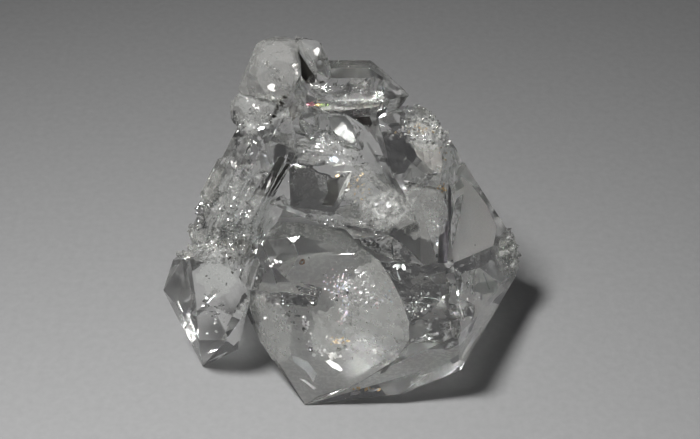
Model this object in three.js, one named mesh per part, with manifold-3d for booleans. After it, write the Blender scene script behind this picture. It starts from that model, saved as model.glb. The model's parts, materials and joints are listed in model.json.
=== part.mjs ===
// A cluster of intergrown, doubly terminated quartz crystals of the Herkimer
// habit, as one fused solid. Millimetres, +Z up; the cluster rests on the flat
// underside of its largest crystal and on the tip of the small one at its left.
import * as THREE from "three";
import { ConvexGeometry } from "three/addons/geometries/ConvexGeometry.js";
import { mergeVertices } from "three/addons/utils/BufferGeometryUtils.js";
import Module from "manifold-3d";

const wasm = await Module();
wasm.setup();

// ---- Crystal constants -----------------------------------------------------
const RHOMB_TILT = THREE.MathUtils.degToRad(51.79); // rhombohedral face normal to the c-axis
const Z_FACE_LAG = 1.06; // the minor rhombohedron stands this much further out than the major one
const POINT_MERGE = 1e-4; // corners closer than this are one corner

const v = (x, y, z) => new THREE.Vector3(x, y, z);

// Repeatable random numbers in 0..1.
function randomFrom(seed) {
  let state = seed;
  return () => {
    state = (state + 0x6d2b79f5) | 0;
    let mixed = Math.imul(state ^ (state >>> 15), 1 | state);
    mixed = (mixed + Math.imul(mixed ^ (mixed >>> 7), 61 | mixed)) ^ mixed;
    return ((mixed ^ (mixed >>> 14)) >>> 0) / 4294967296;
  };
}

// ---- Solids from flat faces ------------------------------------------------
// A face is { normal, distance }: the solid keeps normal . point <= distance.
const faceAt = (normal, point) => {
  const unit = normal.clone().normalize();
  return { normal: unit, distance: unit.dot(point) };
};

// The face through three corners, turned so that `inside` is behind it.
function faceThrough(a, b, c, inside) {
  const normal = b.clone().sub(a).cross(c.clone().sub(a)).normalize();
  if (normal.dot(inside) > normal.dot(a)) normal.negate();
  return faceAt(normal, a);
}

// A narrow face along the edge where two faces meet; `onEdge` is any point of it.
function bevel(p, q, onEdge, depth) {
  const face = faceAt(p.normal.clone().add(q.normal), onEdge);
  return { normal: face.normal, distance: face.distance - depth };
}

// Where three faces meet, or null if two are parallel.
function cornerOf(p, q, r) {
  const qr = q.normal.clone().cross(r.normal);
  const det = p.normal.dot(qr);
  if (Math.abs(det) < 1e-6) return null;
  const rp = r.normal.clone().cross(p.normal);
  const pq = p.normal.clone().cross(q.normal);
  return qr
    .multiplyScalar(p.distance)
    .addScaledVector(rp, q.distance)
    .addScaledVector(pq, r.distance)
    .divideScalar(det);
}

function cornersOf(faces) {
  const corners = [];
  for (let i = 0; i < faces.length; i++)
    for (let j = i + 1; j < faces.length; j++)
      for (let k = j + 1; k < faces.length; k++) {
        const corner = cornerOf(faces[i], faces[j], faces[k]);
        if (!corner) continue;
        if (faces.some((f) => f.normal.dot(corner) > f.distance + POINT_MERGE)) continue;
        if (corners.every((c) => c.distanceTo(corner) > 10 * POINT_MERGE)) corners.push(corner);
      }
  return corners;
}

function solidOf(geometry) {
  const bare = new THREE.BufferGeometry();
  bare.setAttribute("position", geometry.getAttribute("position"));
  if (geometry.index) bare.setIndex(geometry.index);
  const merged = mergeVertices(bare, POINT_MERGE);
  return new wasm.Manifold(
    new wasm.Mesh({
      numProp: 3,
      vertProperties: new Float32Array(merged.getAttribute("position").array),
      triVerts: new Uint32Array(merged.index.array),
    }),
  );
}

const hull = (corners) => solidOf(new ConvexGeometry(corners));
const convex = (faces) => hull(cornersOf(faces));
const union = (solids) => solids.reduce((whole, solid) => whole.add(solid));

// ---- One quartz crystal ----------------------------------------------------
// Six prism faces round the c-axis and a six-faced point at each end. `reach` is
// centre to tip, `apothem` is axis to prism face; `prism`, `head` and `foot` scale
// single faces so that the crystal is as uneven as a grown one.
function quartz({ centre, axis, spin = 0, apothem, reach, prism = [], head = [], foot = [], cuts = [] }) {
  const turn = new THREE.Quaternion().setFromUnitVectors(v(0, 0, 1), axis.clone().normalize());
  const faces = [];
  const add = (normal, distance) => {
    const turned = normal.applyQuaternion(turn);
    faces.push({ normal: turned, distance: distance + turned.dot(centre) });
  };
  for (let i = 0; i < 6; i++) {
    const angle = THREE.MathUtils.degToRad(spin + 60 * i);
    const out = v(Math.cos(angle), Math.sin(angle), 0);
    add(out.clone(), apothem * (prism[i] ?? 1));
    for (const [end, scales] of [[1, head], [-1, foot]]) {
      const minor = (i % 2 === 0) === (end === 1) ? 1 : Z_FACE_LAG;
      const normal = out.clone().multiplyScalar(Math.sin(RHOMB_TILT));
      normal.z = end * Math.cos(RHOMB_TILT);
      add(normal, reach * Math.cos(RHOMB_TILT) * minor * (scales[i] ?? 1));
    }
  }
  return convex([...faces, ...cuts]);
}

// One small quartz point: a six-sided stub with a blunt tip, rooted in the surface.
function point(at, axis, length, spin) {
  const turn = new THREE.Quaternion().setFromUnitVectors(v(0, 0, 1), axis.clone().normalize());
  const width = 0.45 * length;
  const corners = [v(0, 0, length), v(0, 0, -length)];
  for (let i = 0; i < 6; i++) {
    const angle = spin + (i * Math.PI) / 3;
    corners.push(v(width * Math.cos(angle), width * Math.sin(angle), 0.4 * length));
  }
  return hull(corners.map((c) => c.applyQuaternion(turn).add(at)));
}

// Rounds a body off with many small flat facets, as contact and etching leave it.
function worn(body, { facets, depth, seed }) {
  const random = randomFrom(seed);
  const { vertProperties } = body.getMesh();
  let rest = body;
  for (let n = 0; n < facets; n++) {
    const up = 2 * random() - 1;
    const turn = 2 * Math.PI * random();
    const flat = Math.sqrt(1 - up * up);
    const normal = v(flat * Math.cos(turn), flat * Math.sin(turn), up);
    let support = -Infinity;
    for (let i = 0; i < vertProperties.length; i += 3)
      support = Math.max(support, normal.dot(v(...vertProperties.subarray(i, i + 3))));
    rest = rest.trimByPlane(normal.clone().negate().toArray(), -(support - depth * random()));
  }
  return rest;
}

// Crystals side by side with one common axis, strewn through a flat slab.
function bundle({ centre, axis, across, spread, count, apothem, reach, seed }) {
  const random = randomFrom(seed);
  const crystals = [];
  for (let n = 0; n < count; n++) {
    const at = centre.clone();
    at.addScaledVector(across, spread * (2 * random() - 1));
    at.addScaledVector(axis, 0.7 * reach * (2 * random() - 1));
    at.addScaledVector(across.clone().cross(axis), 0.5 * apothem * (2 * random() - 1));
    const scale = 0.6 + 0.7 * random();
    const uneven = Array.from({ length: 6 }, () => 0.85 + 0.3 * random());
    crystals.push(
      quartz({ centre: at, axis, spin: 15, apothem: apothem * scale, reach: reach * scale, prism: uneven }),
    );
  }
  return crystals;
}

// ---- Druse: small crystals sprouting from a surface --------------------------
// Picks points on the faces of `host` that look along `facing`, inside the ball
// `centre`, `radius`, and plants one stubby quartz crystal at each.
function druse(host, { centre, radius, facing, count, size, lean = 0.5, seed }) {
  const random = randomFrom(seed);
  const mesh = host.getMesh();
  const corner = (index) => {
    const start = index * mesh.numProp;
    return v(...mesh.vertProperties.subarray(start, start + 3));
  };
  const patches = [];
  let total = 0;
  for (let i = 0; i < mesh.triVerts.length; i += 3) {
    const [a, b, c] = [0, 1, 2].map((n) => corner(mesh.triVerts[i + n]));
    const patch = new THREE.Triangle(a, b, c);
    const normal = patch.getNormal(v(0, 0, 0));
    const nearest = patch.closestPointToPoint(centre, v(0, 0, 0));
    if (normal.dot(facing) < 0.2 || nearest.distanceTo(centre) > radius) continue;
    total += patch.getArea();
    patches.push({ patch, normal, upTo: total });
  }
  const crystals = [];
  for (let tries = 0; crystals.length < count && tries < 400 * count; tries++) {
    const pick = random() * total;
    const { patch, normal } = patches.find((p) => p.upTo >= pick);
    let [s, t] = [random(), random()];
    if (s + t > 1) [s, t] = [1 - s, 1 - t];
    const at = patch.a.clone();
    at.addScaledVector(patch.b.clone().sub(patch.a), s);
    at.addScaledVector(patch.c.clone().sub(patch.a), t);
    if (at.distanceTo(centre) > radius) continue;
    const wander = v(random() - 0.5, random() - 0.5, random() - 0.5).multiplyScalar(2 * lean);
    const length = size * (0.6 + 0.8 * random());
    crystals.push(point(at, normal.clone().add(wander), length, 2 * Math.PI * random()));
  }
  return crystals;
}

// ---- The main crystal ------------------------------------------------------
const FRONT_TIP = v(-6.2, -19.7, 0);
const LOWER_EDGE = v(6.9, -19.7, 2.1);
const KNEE_LOW = v(15, -19, 5.9);
const KNEE_HIGH = v(14.5, -19.5, 13.2);
const RIGHT_CORNER = v(23.3, -3, 8);
const RIDGE_HEAD = v(12.9, -6.7, 27.8);
const SUMMIT = v(15.4, 0.1, 26.7);
const LEFT_FOOT = v(-12.2, -14, 6);
const CORE = v(4, -2, 14);
const leftUnderside = faceThrough(FRONT_TIP, LEFT_FOOT, v(-8, -10, 0), CORE);

const frontFace = faceThrough(FRONT_TIP, KNEE_HIGH, RIDGE_HEAD, CORE);
const rightFace = faceThrough(KNEE_HIGH, RIGHT_CORNER, SUMMIT, CORE);

function mainCrystal() {
  return convex([
    faceAt(v(0, 0, -1), v(0, 0, 0)),
    frontFace,
    rightFace,
    bevel(frontFace, rightFace, KNEE_HIGH, 0.55),
    faceThrough(FRONT_TIP, LOWER_EDGE, KNEE_HIGH, CORE),
    faceThrough(LOWER_EDGE, KNEE_LOW, KNEE_HIGH, CORE),
    faceThrough(KNEE_LOW, KNEE_HIGH, RIGHT_CORNER, CORE),
    faceThrough(FRONT_TIP, LOWER_EDGE, v(4, -12, 0), CORE),
    faceThrough(LOWER_EDGE, KNEE_LOW, v(8, -11, 0), CORE),
    faceThrough(KNEE_LOW, RIGHT_CORNER, v(13, -7, 0), CORE),
    faceAt(v(0.62, 0.68, 0.38), v(21.3, 1.8, 15.7)),
    faceAt(v(0.8, 0.55, -0.25), v(24, 1, 9)),
    faceAt(v(0.35, 0.75, -0.55), v(19, 6, 5)),
    faceAt(v(-0.1, 0.92, 0.4), v(6, 13, 10)),
    faceAt(v(-0.1, 0.85, -0.5), v(4, 13, 4)),
    faceAt(v(-0.95, -0.15, 0.3), v(-14, -4, 8)),
    leftUnderside,
    faceAt(v(-0.8, 0.3, -0.5), v(-13, 0, 5)),
    faceAt(v(0.05, 0.3, 0.95), v(12, -3, 27.9)),
  ]);
}

// The rim stands this far off the main crystal's front face; it runs from the top
// of the front body round its right side to the lower edge band.
const RIM_HEIGHT = 1.5;
const RIM_FOOT = [
  v(-0.7, -6.8, 20.1),
  v(2, -8.8, 19.1),
  v(4.1, -10.5, 18.3),
  v(5.7, -12.6, 16.7),
  v(7, -14.6, 15),
  v(8, -16.7, 12.9),
  v(8, -18.3, 10.9),
  v(6.1, -19.4, 8.3),
];
const RIM_WIDTH = 1.7;
const RIM_MIDDLE = v(-1.5, -13, 13);
const FRONT_RIM = RIM_FOOT.flatMap((foot) => {
  const inward = RIM_MIDDLE.clone().sub(foot).projectOnPlane(frontFace.normal).setLength(RIM_WIDTH);
  return [foot, foot.clone().add(inward).addScaledVector(frontFace.normal, RIM_HEIGHT)];
});

// A flat-lying block; `half` is its half size and `turn` its turn about each axis, degrees.
function slab(centre, half, turn) {
  const rotation = new THREE.Euler(...turn.map(THREE.MathUtils.degToRad));
  const corners = [];
  for (const x of [-half.x, half.x])
    for (const y of [-half.y, half.y])
      for (const z of [-half.z, half.z]) corners.push(v(x, y, z).applyEuler(rotation).add(centre));
  return hull(corners);
}

// Steps of stacked growth layers, climbing back from the top of the window face.
function growthSteps({ foot, rise, run, width, count, seed }) {
  const random = randomFrom(seed);
  const around = (value, spread) => value + spread * (2 * random() - 1);
  return Array.from({ length: count }, (_, n) => {
    const centre = foot.clone().add(v(around(0, 0.8), run * n + around(2, 0.15), rise * n));
    return slab(
      centre,
      v(width * around(0.42, 0.08), 2, rise * around(0.42, 0.06)),
      [around(0, 5), around(0, 6), around(-14, 9)],
    );
  });
}

const LARGE = [
  mainCrystal(),
  // the body grown on the front of the main crystal, with a rounded rim on its right
  hull([
    ...FRONT_RIM,
    v(-6.3, -19.8, 0.1),
    v(-12.2, -14, 6),
    v(-15.2, -9.5, 10),
    v(-12.3, -7.1, 19.2),
    v(-6.8, -7.5, 20.3),
    v(-10.9, -10, 17.6),
    v(-6.8, -13.2, 15.4),
    v(-2.7, -14.8, 15),
    v(-2.7, -18.2, 8.9),
    v(-7, -17.4, 6.6),
    v(1, -20.2, 4.5),
    v(-12, -4, 8),
    v(-8, 2, 18),
    v(4, -8, 4),
  ]),
  // central crystal with the window face
  hull([
    v(-8.2, -0.8, 28.1),
    v(0.4, -4.7, 30.2),
    v(-2.3, -7.7, 24.7),
    v(-8, -4.5, 23.4),
    v(8.8, -9.2, 24.3),
    v(5, -9.6, 22.4),
    v(-3, -7.5, 22),
    v(4.8, -4.3, 28.4),
    v(2, -0.7, 31.7),
    v(-0.7, 2, 34),
    v(-6.9, 3, 34.5),
    v(-11.2, -4.4, 23.6),
    v(-11, 0, 24),
    v(4, 8, 30),
    v(-8, 8, 26),
    v(0, 6, 18),
  ]),
  // thin plate under it
  hull([
    v(-1, -9.3, 24),
    v(4.6, -10.6, 23.8),
    v(4.5, -10.8, 22.7),
    v(0.5, -10.3, 22.2),
    v(-1, -5, 23),
    v(5, -6, 22.5),
  ]),
  // small crystal at the left, standing on its tip
  hull([
    v(-20.9, -12.3, 0.15),
    v(-26.1, -8, 10.8),
    v(-24, -11.6, 11.4),
    v(-21, -13.6, 14.4),
    v(-22, -13.6, 11),
    v(-20.9, -14.5, 7.4),
    v(-17.1, -15, 7.9),
    v(-15.6, -13.5, 4.7),
    v(-15, -15, 11.7),
    v(-13.7, -13, 13.6),
    v(-21.8, -10, 18.5),
    v(-24.5, -7, 15.6),
    v(-23.3, -6, 16.1),
    v(-18.5, -8, 19.2),
    v(-16.2, -9, 16.9),
    v(-20, -3, 12),
    v(-14, -4, 10),
    v(-17, -6, 4.5),
    v(-17, -2, 16),
  ]),
  // lying crystal along the top
  quartz({
    centre: v(-1, 6, 34.7),
    axis: v(1, 0, 0),
    spin: 38.8,
    apothem: 4,
    reach: 8.8,
    head: [1, 1, 1, 1, 1.1, 1.1],
  }),
  // block at the upper right
  hull([
    v(3.8, 1, 34.1),
    v(6.2, 0.5, 35.3),
    v(7.1, -2.6, 33.4),
    v(7.6, -4.4, 31.4),
    v(5.8, -4.5, 28.1),
    v(12.2, -6.6, 27.9),
    v(10.3, 4, 33.7),
    v(11.2, 3, 32.6),
    v(14.5, 0, 29.6),
    v(12.4, -2, 32.1),
    v(15.4, 0, 27),
    v(14, 6, 26),
    v(6, 8, 31),
    v(3, 4, 24),
  ]),
  // long crystal down the upper left flank
  quartz({
    centre: v(-13.8, -0.4, 25.4),
    axis: v(0.45, 0.25, 0.86),
    spin: -14,
    apothem: 4.3,
    reach: 12.2,
  }),
  // its neighbour, further back and lower
  quartz({ centre: v(-13.6, 0, 19), axis: v(0.2, 0.1, 0.97), spin: 20, apothem: 4.2, reach: 10 }),
  // back of the cluster
  quartz({ centre: v(1, 8.5, 20), axis: v(0.25, 0.4, 0.88), spin: 12, apothem: 7.6, reach: 14.5 }),
  quartz({ centre: v(-8, 8, 15), axis: v(-0.6, 0.6, 0.5), spin: 40, apothem: 5.5, reach: 10.5 }),
  quartz({ centre: v(-5, 5, 24), axis: v(-0.25, 0.3, 0.92), spin: 25, apothem: 6, reach: 13 }),
  quartz({ centre: v(-8.5, 5, 33), axis: v(0.2, -0.3, 0.93), spin: 35, apothem: 3.6, reach: 6.4 }),
  // knob at the top left
  worn(hull([
    v(-12.4, 5, 43.7),
    v(-11, 6, 44),
    v(-8.7, 7, 43.5),
    v(-6.9, 6.5, 42.9),
    v(-7.1, 3.5, 42.2),
    v(-6.5, 2.5, 39.6),
    v(-8.7, 1, 37.6),
    v(-10.7, 0.5, 37.5),
    v(-13.3, 2.5, 40.9),
    v(-14.4, 3, 38.6),
    v(-15.4, 3.5, 36.6),
    v(-11.3, 3, 41.9),
    v(-9, 10, 41),
    v(-13, 9.5, 38),
    v(-8, 9, 34),
    v(-13, 6, 33),
  ]), { facets: 34, depth: 0.6, seed: 21 }),
  // lump under the knob
  worn(hull([
    v(-16.6, 3, 34.6),
    v(-15.9, 1, 32.9),
    v(-11.9, -0.5, 33.5),
    v(-9.6, 0.5, 36.1),
    v(-11, 1, 37),
    v(-15, 3.5, 36.5),
    v(-10, 6, 36),
    v(-15, 7, 32),
    v(-11, 4, 29),
  ]), { facets: 20, depth: 0.5, seed: 23 }),
  // small crystal beside the knob, grown to it along the top
  hull([
    v(-7.4, 7.2, 43.2),
    v(-6.3, 6.5, 43.2),
    v(-4.7, 6.8, 42.8),
    v(-3.8, 6.5, 42.4),
    v(-3, 5.5, 40.8),
    v(-2.6, 4.2, 39.4),
    v(-2.7, 3.4, 38.8),
    v(-4.2, 3.2, 38.6),
    v(-5.5, 3.6, 40.5),
    v(-6.4, 4.4, 42.2),
    v(-7, 5.4, 43),
    v(-4.5, 9, 41),
    v(-4.5, 7, 36),
    v(-7.5, 8.5, 41.5),
  ]),
];

const FLANK_AXIS = v(0.45, 0.25, 0.86).normalize();
const FLANK_ACROSS = v(0.86, -0.1, -0.42).normalize();
const SMALL = [
  // parallel growth down the upper left flank
  ...bundle({
    centre: v(-14.5, -3.4, 26), axis: FLANK_AXIS, across: FLANK_ACROSS, spread: 4,
    count: 15, apothem: 1, reach: 4.4, seed: 31,
  }),
  ...bundle({
    centre: v(-17, -5, 19.5), axis: FLANK_AXIS, across: FLANK_ACROSS, spread: 3.4,
    count: 12, apothem: 0.9, reach: 3, seed: 37,
  }),
  ...bundle({
    centre: v(-14.5, -9, 16), axis: v(0.3, 0.3, 0.9).normalize(), across: FLANK_ACROSS, spread: 2.4,
    count: 9, apothem: 0.8, reach: 2.4, seed: 43,
  }),
  // small blocks wedged under the lying crystal
  quartz({ centre: v(-0.6, -0.4, 32.6), axis: v(0.7, -0.5, -0.5), spin: 10, apothem: 1.7, reach: 3.4 }),
  quartz({ centre: v(-4.6, 0.6, 33.6), axis: v(-0.6, -0.5, 0.5), spin: 40, apothem: 1.8, reach: 3.4 }),
  ...growthSteps({ foot: v(-3.6, -3.2, 29.4), rise: 0.9, run: 0.95, width: 8, count: 5, seed: 47 }),
];

const bare = union([...LARGE, ...SMALL]);

const DRUSE = [
  // on the left flank
  ...druse(bare, {
    centre: v(-16.8, -5, 19.5), radius: 5, facing: v(-0.4, -0.7, 0.5), count: 46, size: 0.8, seed: 3,
  }),
  // on top of the small left crystal
  ...druse(bare, {
    centre: v(-21, -6, 17.5), radius: 3.2, facing: v(-0.2, -0.2, 0.9), count: 32, size: 0.75, seed: 5,
  }),
  // on top of the upper right block
  ...druse(bare, {
    centre: v(10.4, 0.5, 33), radius: 3.9, facing: v(0.3, -0.2, 0.9), count: 46, size: 0.55, seed: 7,
  }),
  // at the right corner
  ...druse(bare, {
    centre: v(22.8, -0.5, 11.5), radius: 3.2, facing: v(0.8, -0.3, 0.4), count: 26, size: 1, seed: 11,
  }),
];

// etch pits in the dull contact surface of the front body
const PITS = druse(bare, {
  centre: v(-1, -15, 13), radius: 7, facing: v(-0.1, -0.8, 0.6), count: 14, size: 0.9, lean: 0.3, seed: 13,
});

const cluster = union([bare, ...DRUSE]).subtract(union(PITS));

// ---- The scene graph -------------------------------------------------------
function meshOf(solid, name, material) {
  const { vertProperties, triVerts, numProp } = solid.getMesh();
  const position = new Float32Array((vertProperties.length / numProp) * 3);
  for (let i = 0; i < position.length / 3; i++)
    position.set(vertProperties.subarray(i * numProp, i * numProp + 3), i * 3);
  const geometry = new THREE.BufferGeometry();
  geometry.setAttribute("position", new THREE.BufferAttribute(position, 3));
  geometry.setIndex(new THREE.BufferAttribute(new Uint32Array(triVerts), 1));
  const mesh = new THREE.Mesh(geometry, material);
  mesh.name = name;
  return mesh;
}

const clearQuartz = new THREE.MeshStandardMaterial({
  color: 0xdfe2e2,
  roughness: 0.05,
  metalness: 0,
  transparent: true,
  opacity: 0.35,
});

// The origin is the middle of the footprint, on the surface it stands on.
const body = meshOf(cluster, "quartz_cluster", clearQuartz);
const extent = new THREE.Box3().setFromObject(body);
const middle = extent.getCenter(v(0, 0, 0));
body.position.set(-middle.x, -middle.y, -extent.min.z);

const part = new THREE.Group();
part.add(body);

export default part;
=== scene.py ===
import json
import math
import random

import bmesh
import bpy
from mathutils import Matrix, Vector, noise
from mathutils.bvhtree import BVHTree

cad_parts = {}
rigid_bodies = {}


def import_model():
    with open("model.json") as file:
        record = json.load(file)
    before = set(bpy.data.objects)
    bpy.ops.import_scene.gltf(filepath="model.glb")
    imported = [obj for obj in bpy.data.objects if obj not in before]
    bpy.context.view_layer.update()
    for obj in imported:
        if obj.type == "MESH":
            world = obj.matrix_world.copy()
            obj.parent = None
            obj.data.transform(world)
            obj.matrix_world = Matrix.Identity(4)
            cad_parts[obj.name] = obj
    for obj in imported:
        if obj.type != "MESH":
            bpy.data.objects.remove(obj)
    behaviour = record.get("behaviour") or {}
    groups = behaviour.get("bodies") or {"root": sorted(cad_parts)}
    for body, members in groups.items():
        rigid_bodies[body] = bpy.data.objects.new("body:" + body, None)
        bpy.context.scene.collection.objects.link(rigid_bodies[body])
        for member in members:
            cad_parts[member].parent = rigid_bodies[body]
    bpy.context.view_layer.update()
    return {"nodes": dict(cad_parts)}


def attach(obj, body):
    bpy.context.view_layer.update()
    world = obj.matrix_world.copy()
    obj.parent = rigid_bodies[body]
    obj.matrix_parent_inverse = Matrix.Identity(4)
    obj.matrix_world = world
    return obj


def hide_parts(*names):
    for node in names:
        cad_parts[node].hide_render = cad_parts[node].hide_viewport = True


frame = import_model()
MM = 0.001
SCENE = bpy.context.scene

# ---- camera, at the photograph's angle ----
ELEVATION = math.radians(40)
DISTANCE = 250 * MM
AXIS_X = 0.71
AXIS_Y = 0.86
AIM = Vector((AXIS_X, AXIS_Y, 17)) * MM
EYE = Vector((0, -math.cos(ELEVATION), math.sin(ELEVATION)))
LENS = 91.2
SENSOR_WIDTH = 36
NEAREST_SEEN = 0.01


def mm(x, y, z):
    """A place in millimetres, x and y counted from the camera's aim line."""
    return Vector((x + AXIS_X, y + AXIS_Y, z)) * MM


def make_camera():
    data = bpy.data.cameras.new("camera")
    data.lens = LENS
    data.sensor_width = SENSOR_WIDTH
    data.clip_start = NEAREST_SEEN
    camera = bpy.data.objects.new("camera", data)
    SCENE.collection.objects.link(camera)
    camera.location = AIM + DISTANCE * EYE
    camera.rotation_euler = (math.pi / 2 - ELEVATION, 0, 0)
    SCENE.camera = camera


# ---- lamp and room ----
LAMP = Vector((-106, -66, 300)) * MM
LAMP_AIM = Vector((-8, -120, 0)) * MM
LAMP_WIDTH = 80 * MM
LAMP_SPREAD = math.radians(95)
LAMP_POWER = 0.38
# the room's tone from below to above, with the height (0 to 1) of its middle one
ROOM_LOW = (0.02, 0.02, 0.021, 1)
ROOM_MIDDLE = (0.028, 0.028, 0.03, 1)
ROOM_MIDDLE_HEIGHT = 0.55
ROOM_HIGH = (0.09, 0.09, 0.09, 1)


def make_lamp():
    data = bpy.data.lights.new("lamp", "AREA")
    data.shape = "DISK"
    data.size = LAMP_WIDTH
    data.spread = LAMP_SPREAD
    data.energy = LAMP_POWER
    lamp = bpy.data.objects.new("lamp", data)
    SCENE.collection.objects.link(lamp)
    lamp.location = LAMP
    lamp.rotation_euler = (LAMP_AIM - LAMP).to_track_quat("-Z", "Y").to_euler()


def make_room():
    world = bpy.data.worlds.new("room")
    world.use_nodes = True
    nodes, links = world.node_tree.nodes, world.node_tree.links
    coordinates = nodes.new("ShaderNodeTexCoord")
    split = nodes.new("ShaderNodeSeparateXYZ")
    ramp = nodes.new("ShaderNodeValToRGB")
    tones = ramp.color_ramp.elements
    tones[0].color = ROOM_LOW
    tones[1].color = ROOM_HIGH
    tones.new(ROOM_MIDDLE_HEIGHT).color = ROOM_MIDDLE
    links.new(coordinates.outputs["Generated"], split.inputs["Vector"])
    links.new(split.outputs["Z"], ramp.inputs["Fac"])
    links.new(ramp.outputs["Color"], nodes["Background"].inputs["Color"])
    set_inputs(nodes["Background"], {"Strength": 1})
    SCENE.world = world


# ---- materials ----
# numbers of the sockets of a Mix node that mixes colours
MIX_FACTOR, MIX_FIRST, MIX_SECOND, MIX_RESULT = 0, 6, 7, 2


def new_material(name):
    material = bpy.data.materials.new(name)
    material.use_nodes = True
    return material, material.node_tree.nodes, material.node_tree.links


def set_inputs(node, values):
    for name, value in values.items():
        node.inputs[name].default_value = value


def noise_texture(nodes, links, scale, detail=2):
    place = nodes.new("ShaderNodeTexCoord")
    texture = nodes.new("ShaderNodeTexNoise")
    set_inputs(texture, {"Scale": scale, "Detail": detail})
    links.new(place.outputs["Object"], texture.inputs["Vector"])
    return texture


def mottle(nodes, links, texture, dark, light):
    """Colours the surface between the two tones, as the texture says."""
    tone = nodes.new("ShaderNodeMix")
    tone.data_type = "RGBA"
    set_inputs(tone, {MIX_FIRST: (*dark, 1), MIX_SECOND: (*light, 1)})
    links.new(texture.outputs["Fac"], tone.inputs[MIX_FACTOR])
    links.new(tone.outputs[MIX_RESULT], nodes["Principled BSDF"].inputs["Base Color"])


# ---- floor ----
FLOOR_HALF = 0.9
FLOOR_LEVEL = -0.05 * MM
PAPER_DARK = (0.36, 0.36, 0.36)
PAPER_LIGHT = (0.43, 0.43, 0.43)
FIBRE_SCALE = 900
FIBRE_HEIGHT = 0.2 * MM


def make_floor():
    mesh = bpy.data.meshes.new("paper")
    signs = [(-1, -1), (1, -1), (1, 1), (-1, 1)]
    corners = [(x * FLOOR_HALF, y * FLOOR_HALF, FLOOR_LEVEL) for x, y in signs]
    mesh.from_pydata(corners, [], [(0, 1, 2, 3)])
    floor = bpy.data.objects.new("paper", mesh)
    SCENE.collection.objects.link(floor)
    material, nodes, links = new_material("paper")
    shader = nodes["Principled BSDF"]
    set_inputs(shader, {"Roughness": 0.9, "Specular IOR Level": 0.1})
    fibre = noise_texture(nodes, links, FIBRE_SCALE, 4)
    mottle(nodes, links, fibre, PAPER_DARK, PAPER_LIGHT)
    bump = nodes.new("ShaderNodeBump")
    set_inputs(bump, {"Strength": 0.25, "Distance": FIBRE_HEIGHT})
    links.new(fibre.outputs["Fac"], bump.inputs["Height"])
    links.new(bump.outputs["Normal"], shader.inputs["Normal"])
    mesh.materials.append(material)


# ---- kinds of quartz ----
QUARTZ_IOR = 1.544
WARM = (0.955, 0.95, 0.915)
# name, transmission, least and greatest roughness where it is dullest, tint
QUARTZ_KINDS = [
    ("clear_quartz", 0.97, 0.15, 0.6, (0.953, 0.95, 0.938)),
    ("frosted_quartz", 0.8, 0.15, 0.6, WARM),
    ("inner_quartz", 1.0, 0.0, 0.3, (0.95, 0.95, 0.95)),
    ("milky_quartz", 0.55, 0.25, 0.6, WARM),
    ("druse_quartz", 0.9, 0.15, 0.6, WARM),
    ("base_quartz", 0.55, 0.25, 0.6, WARM),
]
# places in that list
CLEAR, FROSTED, INNER, MILKY, GRAIN, BASE = range(6)
KEPT_FLAT = (INNER, GRAIN)
QUARTZ_SPECK_SCALE = 1500
SPECK_LOW, SPECK_HIGH = 0.35, 0.66
ABSORPTION_COLOUR = (0.93, 0.95, 0.95, 1)
ABSORPTION_DENSITY = 4.0


def quartz_material(name, transmission, least, most, tint):
    """See-through quartz, rougher where the mesh's own dullness says so."""
    material, nodes, links = new_material(name)
    shader = nodes["Principled BSDF"]
    set_inputs(shader, {"Base Color": (*tint, 1), "IOR": QUARTZ_IOR, "Transmission Weight": transmission})
    speck = noise_texture(nodes, links, QUARTZ_SPECK_SCALE, 3)
    rough = nodes.new("ShaderNodeMapRange")
    set_inputs(rough, {"From Min": SPECK_LOW, "From Max": SPECK_HIGH, "To Min": least, "To Max": most})
    dull = nodes.new("ShaderNodeAttribute")
    dull.attribute_name = "dull"
    mixed = nodes.new("ShaderNodeMath")
    mixed.operation = "MULTIPLY"
    links.new(speck.outputs["Fac"], rough.inputs["Value"])
    links.new(rough.outputs["Result"], mixed.inputs[0])
    links.new(dull.outputs["Fac"], mixed.inputs[1])
    links.new(mixed.outputs["Value"], shader.inputs["Roughness"])
    absorption = nodes.new("ShaderNodeVolumeAbsorption")
    set_inputs(absorption, {"Color": ABSORPTION_COLOUR, "Density": ABSORPTION_DENSITY})
    links.new(absorption.outputs["Volume"], nodes["Material Output"].inputs["Volume"])
    return material


# ---- where the quartz is dull or rough ----
EVEN = Vector((0, 0, 0))
ALONG_X = Vector((1, 0, 0))
ALONG_FLANK = Vector((0.45, 0.25, 0.86)).normalized()
# the main crystal's front face, which the front dome stands out from
FRONT_FACE = Vector((-0.369, -0.719, 0.590))
ON_FRONT_FACE = mm(8.0, -16.7, 12.9)
LEAST_DOME_HEIGHT = 0.06 * MM


class Zone:
    """Radii, relief and the width of its cells in mm; frosting 0 to 1; the way it is drawn out."""

    def __init__(self, centre, radii, frost, relief, cell, way=EVEN, on_dome=False):
        self.centre = centre
        self.radii = [radius * MM for radius in radii]
        self.frost = frost
        self.relief = relief * MM
        self.cell = cell * MM
        self.way = way
        self.on_dome = on_dome


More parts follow.
